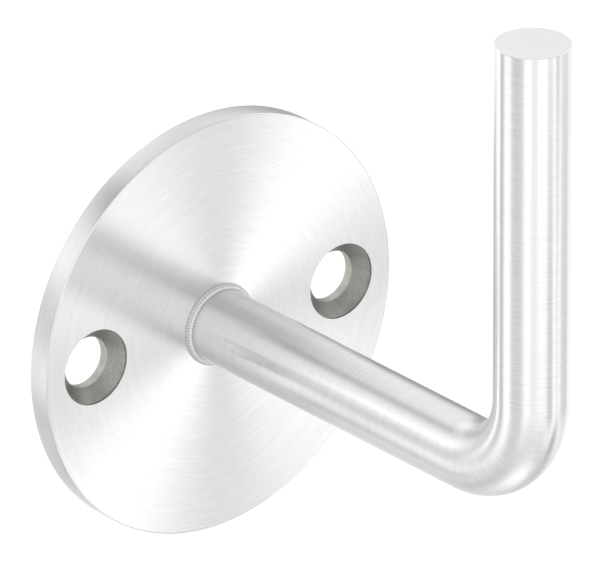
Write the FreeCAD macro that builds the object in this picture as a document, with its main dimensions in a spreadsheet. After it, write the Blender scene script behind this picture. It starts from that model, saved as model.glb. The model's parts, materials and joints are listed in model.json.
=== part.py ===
import FreeCAD, Part
import os

import Sketcher
from FreeCAD import Placement, Vector
from math import asin, cos, pi

# A wall bracket for a handrail. A round plate is screwed to the wall, and a round bar is welded to
# its front. The bar runs level out of the plate and turns up through one bend to carry the rail.
# The origin is the centre of the plate's back face. +Y points into the wall, the arm runs along -Y
# and the upright along +Z. Lengths are in millimetres, angles in degrees.

SIZES = {
    # the wall plate, a turned disc
    "plate_diameter": 70.0,
    "plate_thickness": 4.0,
    "plate_edge_break": 0.2,
    # the two countersunk screw holes, level with each other across the plate
    "hole_pitch": 50.0,
    "hole_diameter": 8.5,
    "head_diameter": 12.6,
    "head_lip_depth": 0.4,
    "head_cone_angle": 90.0,
    # the bent bar: its upright's axis from the wall, and its top above the arm's axis
    "bar_diameter": 12.0,
    "wall_to_upright": 80.0,
    "arm_to_top": 75.0,
    "bend_radius": 15.0,
    # the weld bead round the foot of the arm: the dabs of weld metal lie a pitch apart on its toe,
    # run a little way into each other and are rounded on top
    "bead_leg": 0.85,
    "ripple_pitch": 0.54,
    "ripple_overlap": 0.12,
    "ripple_radius": 0.92,
}

# Ripples in one turn, counted along the bead's toe on the plate
RIPPLE_COUNT = "round(pi * (Sizes.bar_diameter + 2 * Sizes.bead_leg) / Sizes.ripple_pitch)"

# Parts of a sketch: its origin point, its two axes, and the named points of an edge
ORIGIN = (-1, 1)
LEVEL_AXIS = -1
UPRIGHT_AXIS = -2
START, END, CENTRE = range(1, 4)


def add_size_sheet(doc):
    """Put every driving dimension in a spreadsheet cell that carries its name."""
    sheet = doc.addObject("Spreadsheet::Sheet", "Sizes")
    for row, (name, value) in enumerate(SIZES.items(), start=1):
        sheet.set(f"A{row}", name)
        sheet.set(f"B{row}", str(value))
        sheet.setAlias(f"B{row}", name)
    doc.recompute()


def add_body(doc, name):
    body = doc.addObject("PartDesign::Body", name)
    body.Label = name
    body.Placement = Placement()
    return body


def origin_feature(body, role):
    return next(item for item in body.Origin.OriginFeatures if item.Role == role)


def add_sketch(body, name, plane, offset=None):
    """Attach a sketch to an origin plane. On XZ_Plane it faces -Y, out of the wall."""
    sketch = body.newObject("Sketcher::SketchObject", name)
    sketch.AttachmentSupport = [(origin_feature(body, plane), "")]
    sketch.MapMode = "FlatFace"
    if offset:
        sketch.setExpression("AttachmentOffset.Base.z", offset)
    return sketch


def value_of(item, expression):
    """Work out an expression of sizes as a plain number."""
    return float(item.evalExpression(expression))


def bind(sketch, name, expression, kind, *places):
    """Add a dimension to a sketch, name it and tie it to the sheet."""
    value = value_of(sketch, expression)
    index = sketch.addConstraint(Sketcher.Constraint(kind, *places, value))
    sketch.renameConstraint(index, name)
    sketch.setExpression(f"Constraints.{name}", expression)


def add_centred_circle(sketch, diameter):
    """Draw a circle round the sketch's origin."""
    circle = sketch.addGeometry(Part.Circle(Vector(), Vector(0, 0, 1), 1.0))
    sketch.addConstraint(Sketcher.Constraint("Coincident", circle, CENTRE, *ORIGIN))
    bind(sketch, "diameter", diameter, "Diameter", circle)


def closed_edges(feature):
    """Name the edges that run all the way round, such as a disc's two rims."""
    edges = enumerate(feature.Shape.Edges, start=1)
    return [f"Edge{number}" for number, edge in edges if edge.isClosed()]


def make_wall_plate(doc):
    """A disc with its rims broken, and two screw holes countersunk from the front."""
    body = add_body(doc, "wall_plate")

    outline = add_sketch(body, "plate_outline", "XZ_Plane")
    add_centred_circle(outline, "Sizes.plate_diameter")
    disc = body.newObject("PartDesign::Pad", "disc")
    disc.Profile = outline
    disc.setExpression("Length", "Sizes.plate_thickness")
    doc.recompute()

    rims = body.newObject("PartDesign::Chamfer", "broken_rims")
    rims.Base = (disc, closed_edges(disc))
    rims.setExpression("Size", "Sizes.plate_edge_break")
    doc.recompute()

    centres = add_sketch(body, "hole_centres", "XZ_Plane", "Sizes.plate_thickness")
    for name, side in (("left", -1), ("right", 1)):
        circle = centres.addGeometry(Part.Circle(Vector(side, 0, 0), Vector(0, 0, 1), 0.5))
        centres.addConstraint(Sketcher.Constraint("PointOnObject", circle, CENTRE, LEVEL_AXIS))
        bind(centres, f"{name}_diameter", "Sizes.hole_diameter", "Diameter", circle)
        bind(centres, name, f"{side} * Sizes.hole_pitch / 2", "DistanceX", *ORIGIN, circle, CENTRE)
    doc.recompute()

    holes = body.newObject("PartDesign::Hole", "screw_holes")
    holes.Profile = centres
    doc.recompute()
    holes.DepthType = "ThroughAll"
    holes.HoleCutType = "Counterdrill"
    holes.HoleCutCustomValues = True
    holes.setExpression("Diameter", "Sizes.hole_diameter")
    holes.setExpression("HoleCutDiameter", "Sizes.head_diameter")
    holes.setExpression("HoleCutDepth", "Sizes.head_lip_depth")
    holes.setExpression("HoleCutCountersinkAngle", "Sizes.head_cone_angle")
    doc.recompute()
    return body


def make_bent_bar(doc):
    """A round bar swept along the arm, the bend and the upright. Its foot butts on the plate."""
    body = add_body(doc, "bent_bar")

    section = add_sketch(body, "bar_section", "XZ_Plane", "Sizes.plate_thickness")
    add_centred_circle(section, "Sizes.bar_diameter")

    centreline = add_sketch(body, "bar_centreline", "YZ_Plane")
    arm = centreline.addGeometry(Part.LineSegment(Vector(-1, 0, 0), Vector(-2, 0, 0)))
    quarter_turn = Part.ArcOfCircle(Part.Circle(Vector(-2, 1, 0), Vector(0, 0, 1), 1.0), pi, 1.5 * pi)
    bend = centreline.addGeometry(quarter_turn)
    upright = centreline.addGeometry(Part.LineSegment(Vector(-3, 1, 0), Vector(-3, 2, 0)))
    centreline.addConstraint(Sketcher.Constraint("Horizontal", arm))
    centreline.addConstraint(Sketcher.Constraint("Vertical", upright))
    centreline.addConstraint(Sketcher.Constraint("Tangent", arm, END, bend, END))
    centreline.addConstraint(Sketcher.Constraint("Tangent", bend, START, upright, START))
    centreline.addConstraint(Sketcher.Constraint("PointOnObject", arm, START, LEVEL_AXIS))
    bind(centreline, "radius", "Sizes.bend_radius", "Radius", bend)
    bind(centreline, "reach", "Sizes.wall_to_upright", "DistanceX", upright, END, *ORIGIN)
    bind(centreline, "rise", "Sizes.arm_to_top", "DistanceY", *ORIGIN, upright, END)
    bind(centreline, "foot", "Sizes.plate_thickness", "DistanceX", arm, START, *ORIGIN)
    doc.recompute()

    bar = body.newObject("PartDesign::AdditivePipe", "bar")
    bar.Profile = section
    bar.Spine = centreline
    doc.recompute()
    return body


def draw_ripple_profile(sketch):
    """Draw half of a disc's section: a round crest on straight sides, its base in the corner.

    Returns the name of the base, the line about which the disc is turned.
    """
    corner_height = "Sizes.bar_diameter / 2"
    crest_centre_height = "Sizes.bar_diameter / 2 + Sizes.bead_leg - Sizes.ripple_radius"
    width = "Sizes.ripple_pitch + Sizes.ripple_overlap"

    # the outline is drawn where it belongs, and the constraints then hold it there
    half = value_of(sketch, width) / 2
    low = value_of(sketch, corner_height)
    centre_height = value_of(sketch, crest_centre_height)
    radius = value_of(sketch, "Sizes.ripple_radius")
    lean = asin(half / radius)
    high = centre_height + radius * cos(lean)
    crest_circle = Part.Circle(Vector(0, centre_height, 0), Vector(0, 0, 1), radius)

    base = sketch.addGeometry(Part.LineSegment(Vector(-half, low, 0), Vector(half, low, 0)))
    right = sketch.addGeometry(Part.LineSegment(Vector(half, low, 0), Vector(half, high, 0)))
    crest = sketch.addGeometry(Part.ArcOfCircle(crest_circle, pi / 2 - lean, pi / 2 + lean))
    left = sketch.addGeometry(Part.LineSegment(Vector(-half, high, 0), Vector(-half, low, 0)))
    corners = ((base, right), (right, crest), (crest, left), (left, base))
    for before, after in corners:
        sketch.addConstraint(Sketcher.Constraint("Coincident", before, END, after, START))
    sketch.addConstraint(Sketcher.Constraint("Vertical", right))
    sketch.addConstraint(Sketcher.Constraint("Vertical", left))
    sketch.addConstraint(Sketcher.Constraint("PointOnObject", crest, CENTRE, UPRIGHT_AXIS))
    sketch.addConstraint(Sketcher.Constraint("Symmetric", base, START, base, END, UPRIGHT_AXIS))
    bind(sketch, "corner", corner_height, "DistanceY", *ORIGIN, base, START)
    bind(sketch, "width", width, "DistanceX", base, START, base, END)
    bind(sketch, "crest_radius", "Sizes.ripple_radius", "Radius", crest)
    bind(sketch, "crest_height", crest_centre_height, "DistanceY", *ORIGIN, crest, CENTRE)
    return f"Edge{base + 1}"


def make_weld_bead(doc):
    """A ring of rounded ripples in the corner round the bar's foot, seated on bar and plate."""
    body = add_body(doc, "weld_bead")

    profile = add_sketch(body, "ripple_profile", "XZ_Plane", "Sizes.plate_thickness")
    corner_line = draw_ripple_profile(profile)
    doc.recompute()
    ripple = body.newObject("PartDesign::Revolution", "ripple")
    ripple.Profile = profile
    ripple.ReferenceAxis = (profile, [corner_line])
    ripple.Angle = 360
    doc.recompute()

    ring = body.newObject("PartDesign::PolarPattern", "ripples_round_bar")
    ring.Originals = [ripple]
    ring.Axis = (origin_feature(body, "Y_Axis"), [""])
    ring.Angle = 360
    ring.setExpression("Occurrences", RIPPLE_COUNT)
    body.Tip = ring
    doc.recompute()

    bar_circle = add_sketch(body, "bar_circle", "XZ_Plane")
    add_centred_circle(bar_circle, "Sizes.bar_diameter")
    bar_seat = body.newObject("PartDesign::Pocket", "bar_seat")
    bar_seat.Profile = bar_circle
    bar_seat.Type = "ThroughAll"
    bar_seat.Midplane = True
    doc.recompute()

    # all that lies behind the plate's front face, from that face towards the wall
    plate_circle = add_sketch(body, "plate_circle", "XZ_Plane", "Sizes.plate_thickness")
    add_centred_circle(plate_circle, "Sizes.bar_diameter + 4 * Sizes.bead_leg")
    plate_seat = body.newObject("PartDesign::Pocket", "plate_seat")
    plate_seat.Profile = plate_circle
    plate_seat.Type = "ThroughAll"
    plate_seat.Reversed = False
    doc.recompute()
    return body


def check(doc, bodies):
    """Stop if any feature failed or any piece is missing or broken."""
    for item in doc.Objects:
        if "Invalid" in item.State or "Error" in item.State:
            raise RuntimeError(f"{item.Label} failed: {item.State}")
    for body in bodies:
        if body.Shape.isNull() or not body.Shape.isValid():
            raise RuntimeError(f"{body.Label} has no valid shape")


def main():
    doc = FreeCAD.newDocument("handrail_bracket")
    add_size_sheet(doc)
    bodies = [make_wall_plate(doc), make_bent_bar(doc), make_weld_bead(doc)]
    doc.recompute()
    check(doc, bodies)
    os.makedirs("parts", exist_ok=True)
    for body in bodies:
        body.Shape.exportStep(f"parts/{body.Label}.step")


main()
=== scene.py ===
import json
from math import cos, exp, pi, radians, sin, sqrt

import bmesh
import bpy
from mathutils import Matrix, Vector


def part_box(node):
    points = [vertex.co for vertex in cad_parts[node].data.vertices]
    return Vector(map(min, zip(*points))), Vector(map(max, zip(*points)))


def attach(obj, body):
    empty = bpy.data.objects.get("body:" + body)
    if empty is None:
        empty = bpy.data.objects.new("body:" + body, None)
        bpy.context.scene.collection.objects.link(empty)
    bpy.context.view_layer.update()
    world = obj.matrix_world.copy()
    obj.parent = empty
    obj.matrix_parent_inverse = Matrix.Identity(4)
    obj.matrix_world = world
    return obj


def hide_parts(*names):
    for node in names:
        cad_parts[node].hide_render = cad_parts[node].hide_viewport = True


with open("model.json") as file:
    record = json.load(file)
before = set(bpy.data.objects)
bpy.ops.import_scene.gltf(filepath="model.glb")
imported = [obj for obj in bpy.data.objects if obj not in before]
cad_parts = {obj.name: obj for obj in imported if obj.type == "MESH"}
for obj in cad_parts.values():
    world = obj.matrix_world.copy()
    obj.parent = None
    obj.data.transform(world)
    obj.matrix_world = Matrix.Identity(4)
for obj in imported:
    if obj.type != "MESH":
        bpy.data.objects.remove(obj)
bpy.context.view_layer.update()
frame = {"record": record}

# A handrail bracket of brushed stainless steel: a turned wall plate, a bent round bar and the weld
# bead between them. Lengths are in metres, in the frame's axes: the wall is at y = 0 and +Z is up.
# The angles among the values below are in degrees.

MM = 0.001
X = Vector((1, 0, 0))
Y = Vector((0, 1, 0))
Z = Vector((0, 0, 1))

# Sizes that the frame gives
MOUNTS = {mount["name"]: mount for mount in frame["record"]["mounts"]}
PLATE_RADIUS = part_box("wall_plate")[1].x
PLATE_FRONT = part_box("wall_plate")[0].y
HOLE_PITCH = MOUNTS["screw_holes"]["dims"]["spacing_x_mm"] * MM
HOLE_RADIUS = MOUNTS["screw_holes"]["dims"]["hole_r_mm"] * MM
BAR_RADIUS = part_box("bent_bar")[1].x
BAR_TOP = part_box("bent_bar")[1].z
UPRIGHT_Y = MOUNTS["rail_spigot"]["pos_m"][1]
BEAD_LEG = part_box("weld_bead")[1].x - BAR_RADIUS

# Sizes of the details. A head recess is a short lip and then a cone, as deep as it is wide.
HEAD_RADIUS = 6.3 * MM
HEAD_LIP_DEPTH = 0.4 * MM
CONE_END = PLATE_FRONT + HEAD_LIP_DEPTH + (HEAD_RADIUS - HOLE_RADIUS)
PLATE_EDGE = 0.2 * MM
BAR_EDGE = 0.09 * MM
BEND_RADIUS = 15.0 * MM
BEND_CENTRE = Vector((0, UPRIGHT_Y + BEND_RADIUS, BEND_RADIUS))
RIPPLE_COUNT = 80
RIPPLE_RADIUS = 0.62 * MM

# Facets
RIM_SIDES = 512
HOLE_SIDES = 192
BAR_SIDES = 256
BEND_STEPS = 96
EDGE_STEPS = 4
RIPPLE_SIDES = 14
BEAD_SIDES = RIPPLE_COUNT * RIPPLE_SIDES
BEAD_STEPS = 12


def grey(value, warmth=0.0):
    """A grey. Warmth takes away that share of its blue, and about a fifth as much of its green."""
    green_loss = 0.18
    return (value, value * (1 - warmth * green_loss), value * (1 - warmth), 1.0)


# Ranges of a noise that become a material's whole range. A narrower one gives more contrast.
NARROW = (0.35, 0.65)
MEDIUM = (0.3, 0.7)
WIDE = (0.2, 0.8)

# The range of a cosine
WAVE = (-1.0, 1.0)

# Brushed steel. Each kind of line has a noise's scale along the lines and across them. The weights
# say how much the fine lines, the long ones and the grain add to the pattern of the colour.
FINE_LINES = (260.0, 6500.0)
LONG_LINES = (50.0, 3200.0)
SWAY_LINES = (80.0, 5000.0)
GRAIN_SCALE = 4500.0
FINE_WEIGHT = 0.45
LONG_WEIGHT = 0.3
GRAIN_WEIGHT = 0.25
ANISOTROPY = 0.95
ROUGHNESS_SWING = 0.01
PLATE_BRUSHING = {"roughness": 0.30, "shade": 0.71, "contrast": 0.046, "sway": 0.14}
BAR_BRUSHING = {"roughness": 0.25, "shade": 0.72, "contrast": 0.036, "sway": 0.10}

# On the rim, the direction across the lines is pulled from outwards over to Y, and a little painted
# shade darkens the colour.
RIM_PULL = 30.0
RIM_PAINTED_SHADE = 0.07

# The sawn end. Its lines run along the azimuth, counted from +X towards +Y, and are scaled as above.
GRIND_AZIMUTH = -95.0
GRIND_LINES = (120.0, 3600.0)
GROUND_TONES = (grey(0.72), grey(0.78))
GROUND_ROUGHNESS = 0.42

# The countersinks
CLOUD_SCALE = 500.0
MOTTLE_SCALE = 3200.0
CONE_TONES = (grey(0.24, 0.09), grey(0.34, 0.08))
BORE_TONES = (grey(0.38, 0.08), grey(0.50, 0.07))
BORE_BLUR = 0.1 * MM
RECESS_ROUGHNESS = (0.42, 0.52)

# The weld bead, with bands of painted highlight. Their angles count from the plate round to the bar.
HIGHLIGHT_RISE = 20.0
HIGHLIGHT_GAP = 45.0
RIPPLE_HIGHLIGHT = (0.3, 1.0)
SHEEN_MOTTLE_SCALE = 1400.0
SHEEN_MOTTLE_RANGE = (0.7, 1.1)
# From the weld's dull tone to its painted highlight
WELD_AND_HIGHLIGHT_TONES = (grey(0.48), grey(0.76))
WELD_ROUGHNESS = (0.50, 0.36)

# Bumps: (strength, height)
LINE_BUMP = (0.25, 0.02 * MM)
SOFT_BUMP = (0.2, 0.02 * MM)
RECESS_BUMP = (0.4, 0.03 * MM)

# The camera: a long lens, because the photo is close to a parallel view. Its azimuth counts from
# straight in front of the plate.
LENS = 1500.0
SENSOR = 36.0
CAMERA_AZIMUTH = -39.746
CAMERA_ELEVATION = 24.992
CAMERA_DISTANCE = 3.8988
CAMERA_REACH = 20.0
CAMERA_AIM = Vector((-7.05, -32.43, 19.42)) * MM

# The floor: far enough down for the bracket, which hangs on a wall, to be seen from below
FLOOR_HEIGHT = -4.0
FLOOR_SIDE = 40.0
FLOOR_TONES = (grey(0.80), grey(0.82))
FLOOR_DUST_SCALE = 30.0
FLOOR_GLOW = 0.25

# The light tent round the bracket: its plain light at each elevation, and the bright boxes and
# darker cards in it, which the metal mirrors. Azimuth counts from +X towards +Y. Most of these lights
# were fitted to the photo's tones by a scratch script and then rounded. The others were set one by
# one.
TENT_RADIUS = 1.4
TENT_CENTRE = Vector((0, -40, 20)) * MM
TENT_STEP = 2
TENT_LIGHT = {-90: 1.3, -60: 0.75, -30: 1.3, 0: 1.1, 30: 1.3, 60: 0.95, 90: 1.1}
SOFT_EDGE = 2.5
# Name: (azimuth, elevation, half width, half height, light added)
PANELS = {
    "tall_box_left": (-142, -2, 8, 18, 0.75),
    "floor_box": (-105, -90, 115, 14, 0.9),
    "main_box": (-101, 7, 13, 23, 0.65),
    "front_box_high": (-73, -6, 8, 6, 0.8),
    "low_box": (-67, -42, 14, 6, 1.05),
    "front_box_low": (-56, -32, 3, 6, 0.65),
    "front_box": (-54, -17, 12, 8, 1.45),
    "low_right_box": (-18, -39, 12, 4, 0.45),
    "right_box": (-14, 22, 28, 20, 0.3),
    "wall_box_high": (78, 26, 8, 8, 0.8),
    "wall_strip": (114, -15, 8, 10, 1.25),
    "upper_wall_box": (118, 17, 22, 3, 1.0),
    "wall_box": (151, -23, 12, 9, 0.6),
    "left_card": (-175, -16, 17, 26, -0.35),
    "front_card_top": (-85, 44, 24, 10, -0.7),
    "low_card": (-72, -27, 9, 7, -1.7),
    "front_card": (-54, -6, 7, 16, -1.5),
    "low_front_card": (-39, -45, 9, 4, -1.7),
    "right_card": (-20, -24, 16, 4, -1.0),
    "wall_card_right": (44, -1, 18, 16, -0.9),
    "wall_card_left": (126, -21, 10, 22, -0.7),
    "wall_card_top": (137, 54, 26, 8, -1.0),
}


def sides(loop):
    """The pairs of neighbours in a closed loop."""
    return zip(loop, loop[1:] + loop[:1])


def quarter_turn(steps):
    """Angles in radians from none to a right angle, in equal steps."""
    return [pi / 2 * i / steps for i in range(steps + 1)]


def ring(bm, centre, across, along, radius, count):
    """A circle of points round centre, in the plane of the two directions."""
    turns = [2 * pi * i / count for i in range(count)]
    return [bm.verts.new(centre + radius * (cos(a) * across + sin(a) * along)) for a in turns]


def skin(bm, rings, paint=0, closed=False):
    """Quads between each ring and the next, and if closed also from the last to the first."""
    pairs = sides(rings) if closed else zip(rings, rings[1:])
    for low, high in pairs:
        for (a, b), (d, c) in zip(sides(low), sides(high)):
            face = bm.faces.new((a, b, c, d))
            face.material_index = paint


def sharpen(bm, loop):
    """Mark a closed loop of points as a sharp edge."""
    for pair in sides(loop):
        bm.edges.get(pair).smooth = False


def fill_flat(bm, *loops):
    """Fill the flat area inside the first loop and outside the others."""
    edges = [bm.edges.get(pair) for loop in loops for pair in sides(loop)]
    bmesh.ops.triangle_fill(bm, use_beauty=True, use_dissolve=False, edges=edges)


def make_object(name, bm, materials):
    """Put the mesh in the scene as an object."""
    mesh = bpy.data.meshes.new(name)
    bm.to_mesh(mesh)
    bm.free()
    for material in materials:
        mesh.materials.append(material)
    made = bpy.data.objects.new(name, mesh)
    bpy.context.scene.collection.objects.link(made)
    return made


def add_piece(name, bm, node, materials):
    """Make a shown piece that rides on the body and stands for a node of the frame."""
    bmesh.ops.recalc_face_normals(bm, faces=bm.faces)
    for face in bm.faces:
        face.smooth = True
    piece = make_object(name, bm, materials)
    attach(piece, "root")
    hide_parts(node)


def rim_edge(level, towards):
    """Places (radius, y) on a rounded edge of the plate, from the flat face out to the rim."""
    return [(PLATE_RADIUS - PLATE_EDGE * (1 - sin(a)), level + towards * PLATE_EDGE * (1 - cos(a)))
            for a in quarter_turn(EDGE_STEPS)]


def make_wall_plate(face_steel, hole_steel):
    """The turned disc with rounded rims and two countersunk holes with a lip."""
    bm = bmesh.new()
    profile = rim_edge(0.0, -1) + rim_edge(PLATE_FRONT, 1)[::-1]
    rim = [ring(bm, y * Y, X, Z, radius, RIM_SIDES) for radius, y in profile]
    skin(bm, rim)
    backs = [rim[0]]
    fronts = [rim[-1]]
    creases = [rim[0], rim[-1]]
    steps = ((HEAD_RADIUS, PLATE_FRONT), (HEAD_RADIUS, PLATE_FRONT + HEAD_LIP_DEPTH),
             (HOLE_RADIUS, CONE_END), (HOLE_RADIUS, 0.0))
    for side in (-1, 1):
        centre = side * HOLE_PITCH / 2 * X
        hole = [ring(bm, centre + y * Y, X, Z, radius, HOLE_SIDES) for radius, y in steps]
        skin(bm, hole, paint=1)
        fronts.append(hole[0])
        backs.append(hole[-1])
        creases += hole
    fill_flat(bm, *fronts)
    fill_flat(bm, *backs)
    for loop in creases:
        sharpen(bm, loop)
    add_piece("turned_wall_plate", bm, "wall_plate", (face_steel, hole_steel))


def bar_path():
    """Places along the bar's axis as (centre, sideways direction), from the plate to the top."""
    yield PLATE_FRONT * Y, Z
    for turn in quarter_turn(BEND_STEPS):
        inwards = Vector((0, sin(turn), cos(turn)))
        yield BEND_CENTRE - BEND_RADIUS * inwards, inwards
    yield Vector((0, UPRIGHT_Y, BAR_TOP - BAR_EDGE)), Y


def make_bent_bar(bar_steel, cap_steel):
    """The round bar: level arm, one bend and the upright with its ground end."""
    bm = bmesh.new()
    rings = [ring(bm, centre, X, inwards, BAR_RADIUS, BAR_SIDES) for centre, inwards in bar_path()]
    top = Vector((0, UPRIGHT_Y, BAR_TOP))
    for turn in quarter_turn(EDGE_STEPS)[1:]:
        level = top - BAR_EDGE * (1 - sin(turn)) * Z
        rings.append(ring(bm, level, X, Y, BAR_RADIUS - BAR_EDGE * (1 - cos(turn)), BAR_SIDES))
    skin(bm, rings)
    bm.faces.new(rings[0])
    cap = bm.faces.new(rings[-1])
    cap.material_index = 1
    sharpen(bm, rings[0])
    sharpen(bm, rings[-1])
    add_piece("satin_bent_bar", bm, "bent_bar", (bar_steel, cap_steel))


def make_weld_bead(bead_steel):
    """A quarter-round ring of overlapping dabs of weld metal in the corner round the bar's foot."""
    bm = bmesh.new()
    dab_turn = 2 * pi / RIPPLE_COUNT
    rows = []
    for i in range(BEAD_SIDES):
        turn = 2 * pi * i / BEAD_SIDES
        off = (turn + dab_turn / 2) % dab_turn - dab_turn / 2
        out = cos(turn) * X + sin(turn) * Z
        row = [bm.verts.new(PLATE_FRONT * Y + BAR_RADIUS * out)]
        for rise in quarter_turn(BEAD_STEPS):
            aside = (BAR_RADIUS + BEAD_LEG * cos(rise)) * sin(off)
            leg = BEAD_LEG - RIPPLE_RADIUS + sqrt(RIPPLE_RADIUS ** 2 - aside ** 2)
            place = (BAR_RADIUS + leg * cos(rise)) * out + (PLATE_FRONT - leg * sin(rise)) * Y
            row.append(bm.verts.new(place))
        rows.append(row)
    skin(bm, rows, closed=True)
    for k in (0, 1, BEAD_STEPS + 1):
        sharpen(bm, [row[k] for row in rows])
    add_piece("rippled_weld_bead", bm, "weld_bead", (bead_steel,))


class Nodes:
    """A short way to write the nodes of one material."""

    def __init__(self, name):
        self.material = bpy.data.materials.new(name)
        self.material.use_nodes = True
        self.tree = self.material.node_tree
        self.tree.nodes.clear()

    def add(self, kind, inputs=(), **settings):
        """Add a node. Each input is a plain value or another node's output."""
        node = self.tree.nodes.new(kind)
        for name, value in settings.items():
            setattr(node, name, value)
        for key, value in dict(inputs).items():
            if isinstance(value, bpy.types.NodeSocket):
                self.tree.links.new(value, node.inputs[key])
            else:
                node.inputs[key].default_value = value
        return node

    def maths(self, operation, *values):
        return self.add("ShaderNodeMath", enumerate(values), operation=operation).outputs[0]

    def times(self, value, factor):
        return self.maths("MULTIPLY", value, factor)

    def weighted(self, *terms):
        """The sum of the values, each times its weight."""
        total = 0.0
        for value, weight in terms:
            total = self.maths("MULTIPLY_ADD", value, weight, total)
        return total

    def vector(self, operation, *values):
        node = self.add("ShaderNodeVectorMath", enumerate(values), operation=operation)
        return node.outputs["Value" if operation in ("LENGTH", "DOT_PRODUCT") else "Vector"]

    def scaled(self, vector, size):
        node = self.add("ShaderNodeVectorMath", {0: vector, "Scale": size}, operation="SCALE")
        return node.outputs["Vector"]

    def place(self):
        return self.add("ShaderNodeTexCoord").outputs["Object"]

    def parts(self, vector):
        return self.add("ShaderNodeSeparateXYZ", {0: vector}).outputs

    def joined(self, x, y, z):
        return self.add("ShaderNodeCombineXYZ", {0: x, 1: y, 2: z}).outputs[0]

    def noise(self, vector, scale=1.0, detail=1.0, roughness=0.5):
        inputs = {"Vector": vector, "Scale": scale, "Detail": detail, "Roughness": roughness}
        return self.add("ShaderNodeTexNoise", inputs).outputs["Fac"]

    def spread(self, value, low, high, new_low=0.0, new_high=1.0):
        """The value moved from one range to another, and kept inside the new one."""
        inputs = enumerate((value, low, high, new_low, new_high))
        return self.add("ShaderNodeMapRange", inputs).outputs[0]

    def blend(self, share, low, high):
        node = self.add("ShaderNodeMix", {0: share, 6: low, 7: high}, data_type="RGBA")
        return node.outputs[2]

    def bump(self, height, strength, distance):
        inputs = {"Height": height, "Strength": strength, "Distance": distance}
        return self.add("ShaderNodeBump", inputs).outputs[0]

    def show(self, shader):
        """Make this shader the material's surface."""
        self.add("ShaderNodeOutputMaterial", {0: shader.outputs[0]})
        return self.material

    def metal(self, **inputs):
        """Finish the material as a metal, with these inputs of the shader."""
        named = {name.replace("_", " "): value for name, value in inputs.items()}
        return self.show(self.add("ShaderNodeBsdfPrincipled", {"Metallic": 1.0, **named}))


def brushed(nodes, slow, quick, across, along, roughness, shade, contrast, sway, painted_shade=0.0):
    """Finish a brushed steel.

    Its lines change slowly with the two slow coordinates and quickly with the quick one. The shine
    is drawn out across the lines, and each line turns it a little along itself, as brushing does.
    """
    def lines(slow_scale, quick_scale):
        slow_parts = [nodes.times(part, slow_scale) for part in slow]
        return nodes.noise(nodes.joined(*slow_parts, nodes.times(quick, quick_scale)))

    fine = lines(*FINE_LINES)
    long = lines(*LONG_LINES)
    grain = nodes.noise(nodes.place(), GRAIN_SCALE)
    pattern = nodes.weighted((fine, FINE_WEIGHT), (long, LONG_WEIGHT), (grain, GRAIN_WEIGHT))
    share = nodes.spread(pattern, *NARROW)
    colour = nodes.blend(share, grey(shade - contrast), grey(shade + contrast))
    turning = nodes.times(nodes.maths("SUBTRACT", lines(*SWAY_LINES), 0.5), sway)
    swayed = nodes.vector("ADD", across, nodes.scaled(along, turning))
    # The colour goes towards black by the painted shade, which only the rim is given.
    return nodes.metal(
        Base_Color=nodes.blend(painted_shade, colour, grey(0.0)),
        Roughness=nodes.spread(long, *WIDE, roughness - ROUGHNESS_SWING, roughness + ROUGHNESS_SWING),
        Anisotropic=ANISOTROPY,
        Tangent=nodes.vector("NORMALIZE", swayed),
        Normal=nodes.bump(fine, *LINE_BUMP),
    )


def turned_steel():
    """Brushed steel with fine lines round the plate's centre, on its faces and its rim."""
    nodes = Nodes("turned_steel")
    x, y, z = nodes.parts(nodes.place())
    radial = nodes.joined(x, 0.0, z)
    reach = nodes.vector("LENGTH", radial)
    outwards = nodes.vector("NORMALIZE", radial)
    round_it = nodes.vector("CROSS_PRODUCT", outwards, Y)
    on_rim = nodes.maths("GREATER_THAN", reach, PLATE_RADIUS - PLATE_EDGE)
    rim_across = nodes.joined(0.0, nodes.times(on_rim, RIM_PULL), 0.0)
    across = nodes.vector("NORMALIZE", nodes.vector("ADD", outwards, rim_across))
    lines = nodes.maths("SUBTRACT", reach, y)
    # Painted shade: the rim's colour is made a little darker than the face's.
    painted_shade = nodes.times(on_rim, RIM_PAINTED_SHADE)
    return brushed(nodes, (x, z), lines, across, round_it, painted_shade=painted_shade, **PLATE_BRUSHING)


def satin_steel():
    """Brushed steel with fine lines round the bar, along the arm, the bend and the upright."""
    nodes = Nodes("satin_steel")
    x, y, z = nodes.parts(nodes.vector("SUBTRACT", nodes.place(), BEND_CENTRE))
    back = nodes.maths("MINIMUM", y, 0.0)
    down = nodes.maths("MINIMUM", z, 0.0)
    outwards = nodes.joined(0.0, back, down)
    axis = nodes.vector("NORMALIZE", nodes.vector("CROSS_PRODUCT", X, outwards))
    turn = nodes.maths("ABSOLUTE", nodes.maths("ARCTAN2", back, down))
    arm_run = nodes.maths("MAXIMUM", y, 0.0)
    upright_run = nodes.maths("MAXIMUM", z, 0.0)
    run = nodes.maths("ADD", nodes.times(turn, BEND_RADIUS), arm_run)
    run = nodes.maths("SUBTRACT", run, upright_run)
    surface = nodes.add("ShaderNodeNewGeometry").outputs["Normal"]
    round_it = nodes.vector("CROSS_PRODUCT", axis, surface)
    height = nodes.vector("LENGTH", outwards)
    return brushed(nodes, (x, height), run, axis, round_it, **BAR_BRUSHING)


def ground_end():
    """The sawn end of the bar, ground flat with straight lines across it."""
    nodes = Nodes("ground_end")
    place = nodes.place()
    turn = radians(GRIND_AZIMUTH)
    slow_scale, quick_scale = GRIND_LINES
    across = nodes.vector("DOT_PRODUCT", place, (-sin(turn), cos(turn), 0.0))
    along = nodes.vector("DOT_PRODUCT", place, (cos(turn), sin(turn), 0.0))
    lines = nodes.joined(nodes.times(across, quick_scale), nodes.times(along, slow_scale), 0.0)
    fine = nodes.noise(lines)
    return nodes.metal(
        Base_Color=nodes.blend(nodes.spread(fine, *MEDIUM), *GROUND_TONES),
        Roughness=GROUND_ROUGHNESS,
        Normal=nodes.bump(fine, *SOFT_BUMP),
    )


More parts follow.
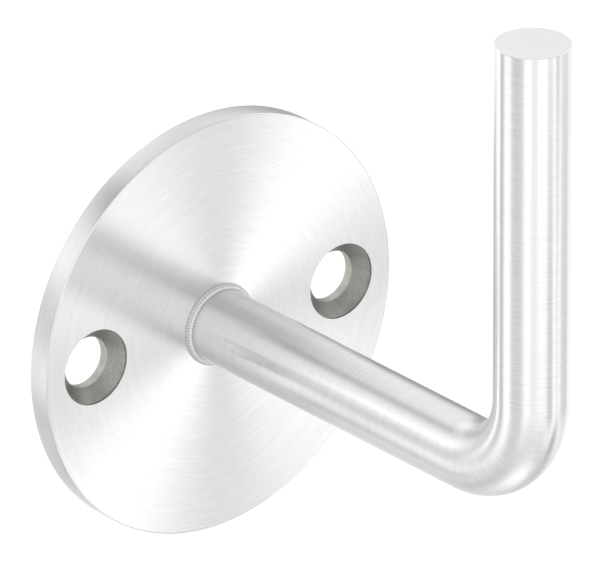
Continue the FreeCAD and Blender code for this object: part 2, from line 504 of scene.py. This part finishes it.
def recess_steel():
    """The machined countersinks: duller and warmer than the brushed faces, lighter in the bore."""
    nodes = Nodes("recess_steel")
    place = nodes.place()
    depth = nodes.parts(place)[1]
    in_bore = nodes.spread(depth, CONE_END - BORE_BLUR, CONE_END + BORE_BLUR)
    cloud = nodes.noise(place, CLOUD_SCALE, detail=2.0)
    grain = nodes.noise(place, MOTTLE_SCALE, detail=2.0)
    mottle = nodes.weighted((cloud, 0.5), (grain, 0.5))
    share = nodes.spread(mottle, *NARROW)
    cone = nodes.blend(share, *CONE_TONES)
    bore = nodes.blend(share, *BORE_TONES)
    return nodes.metal(
        Base_Color=nodes.blend(in_bore, cone, bore),
        Roughness=nodes.spread(mottle, *WIDE, *RECESS_ROUGHNESS),
        Normal=nodes.bump(grain, *RECESS_BUMP),
    )


def weld_steel():
    """Cleaned weld metal: each ripple has a painted highlight on both sides of the bead, dull
    between.
    """
    nodes = Nodes("weld_metal")
    place = nodes.place()
    x, y, z = nodes.parts(place)
    off_bar = nodes.maths("SUBTRACT", nodes.vector("LENGTH", nodes.joined(x, 0.0, z)), BAR_RADIUS)
    off_plate = nodes.maths("SUBTRACT", PLATE_FRONT, y)
    rise = nodes.maths("ARCTAN2", off_plate, off_bar)
    # Painted highlight: bright bands round the bead, brightest at each ripple's crest.
    past_highlight = nodes.maths("SUBTRACT", rise, radians(HIGHLIGHT_RISE))
    highlight_bands = nodes.maths("COSINE", nodes.times(past_highlight, 360 / HIGHLIGHT_GAP))
    turn = nodes.maths("ARCTAN2", z, x)
    ripples = nodes.maths("COSINE", nodes.times(turn, float(RIPPLE_COUNT)))
    painted_highlight = nodes.times(nodes.spread(highlight_bands, *WAVE), nodes.spread(ripples, *WAVE, *RIPPLE_HIGHLIGHT))
    # A noise mottles the painted highlight and bumps the surface.
    sheen_mottle = nodes.noise(place, SHEEN_MOTTLE_SCALE, detail=3.0, roughness=0.6)
    shine = nodes.times(painted_highlight, nodes.spread(sheen_mottle, *MEDIUM, *SHEEN_MOTTLE_RANGE))
    return nodes.metal(
        Base_Color=nodes.blend(shine, *WELD_AND_HIGHLIGHT_TONES),
        Roughness=nodes.spread(painted_highlight, 0.0, 1.0, *WELD_ROUGHNESS),
        Normal=nodes.bump(sheen_mottle, *SOFT_BUMP),
    )


def make_floor():
    """A plain pale floor. Where it is seen or mirrored, a glow makes it as white as the world."""
    nodes = Nodes("pale_floor")
    rays = nodes.add("ShaderNodeLightPath").outputs
    seen = nodes.maths("MAXIMUM", rays["Is Camera Ray"], rays["Is Glossy Ray"])
    seen = nodes.maths("MAXIMUM", seen, rays["Is Transmission Ray"])
    dust = nodes.noise(nodes.place(), FLOOR_DUST_SCALE, detail=3.0, roughness=0.6)
    paint = nodes.add("ShaderNodeBsdfDiffuse", {"Color": nodes.blend(dust, *FLOOR_TONES)})
    strength = nodes.times(seen, FLOOR_GLOW)
    glow = nodes.add("ShaderNodeEmission", {"Color": grey(1.0), "Strength": strength})
    both = nodes.add("ShaderNodeAddShader", {0: paint.outputs[0], 1: glow.outputs[0]})
    bm = bmesh.new()
    half = FLOOR_SIDE / 2
    corners = ((-half, -half), (half, -half), (half, half), (-half, half))
    bm.faces.new([bm.verts.new((x, y, FLOOR_HEIGHT)) for x, y in corners])
    floor = make_object("floor", bm, (nodes.show(both),))


def fade(inside):
    """A panel's strength so many degrees inside its edge: 1 well inside, 0 well outside."""
    return 1 / (1 + exp(-inside / SOFT_EDGE))


def tent_light(azimuth, elevation):
    """The tent's light in one direction."""
    levels = sorted(TENT_LIGHT)
    low = max(level for level in levels[:-1] if level <= elevation)
    high = levels[levels.index(low) + 1]
    share = (elevation - low) / (high - low)
    light = (1 - share) * TENT_LIGHT[low] + share * TENT_LIGHT[high]
    for side, rise, half_width, half_height, added in PANELS.values():
        aside = abs((azimuth - side + 180) % 360 - 180)
        light += added * fade(half_width - aside) * fade(half_height - abs(elevation - rise))
    return max(light, 0.0)


def make_tent():
    """The round light tent, which is seen only in the metal."""
    bm = bmesh.new()
    glow = bm.verts.layers.float.new("glow")
    rows = []
    for elevation in range(-90 + TENT_STEP, 90, TENT_STEP):
        level = radians(elevation)
        centre = TENT_CENTRE + TENT_RADIUS * sin(level) * Z
        row = ring(bm, centre, X, Y, TENT_RADIUS * cos(level), 360 // TENT_STEP)
        for i, vert in enumerate(row):
            vert[glow] = tent_light(TENT_STEP * i, elevation)
        rows.append(row)
    skin(bm, rows)
    bm.faces.new(rows[0])
    bm.faces.new(rows[-1])
    nodes = Nodes("tent_cloth")
    light = nodes.add("ShaderNodeAttribute", attribute_name="glow").outputs["Fac"]
    cloth = nodes.add("ShaderNodeEmission", {"Color": grey(1.0), "Strength": light})
    nodes.material.cycles.emission_sampling = "NONE"
    tent = make_object("tent", bm, (nodes.show(cloth),))
    tent.visible_camera = False
    tent.visible_diffuse = False
    tent.visible_shadow = False


def make_world():
    """A plain white world: the background, and the floor's light. The metal sees only the tent."""
    world = bpy.data.worlds.new("studio")
    world.use_nodes = True
    background = world.node_tree.nodes["Background"]
    background.inputs["Color"].default_value = grey(1.0)
    background.inputs["Strength"].default_value = 1.0
    bpy.context.scene.world = world


def make_camera():
    """The camera, which looks at its aim from the photo's direction."""
    azimuth = radians(CAMERA_AZIMUTH)
    elevation = radians(CAMERA_ELEVATION)
    back = Vector((sin(azimuth) * cos(elevation), -cos(azimuth) * cos(elevation), sin(elevation)))
    data = bpy.data.cameras.new("camera")
    data.lens = LENS
    data.sensor_width = SENSOR
    data.clip_end = CAMERA_REACH
    camera = bpy.data.objects.new("camera", data)
    camera.location = CAMERA_AIM + CAMERA_DISTANCE * back
    camera.rotation_mode = "QUATERNION"
    camera.rotation_quaternion = (-back).to_track_quat("-Z", "Y")
    bpy.context.scene.collection.objects.link(camera)
    bpy.context.scene.camera = camera


make_camera()
make_floor()
make_tent()
make_world()
make_wall_plate(turned_steel(), recess_steel())
make_bent_bar(satin_steel(), ground_end())
make_weld_bead(weld_steel())
bpy.context.scene.view_settings.view_transform = "Standard"
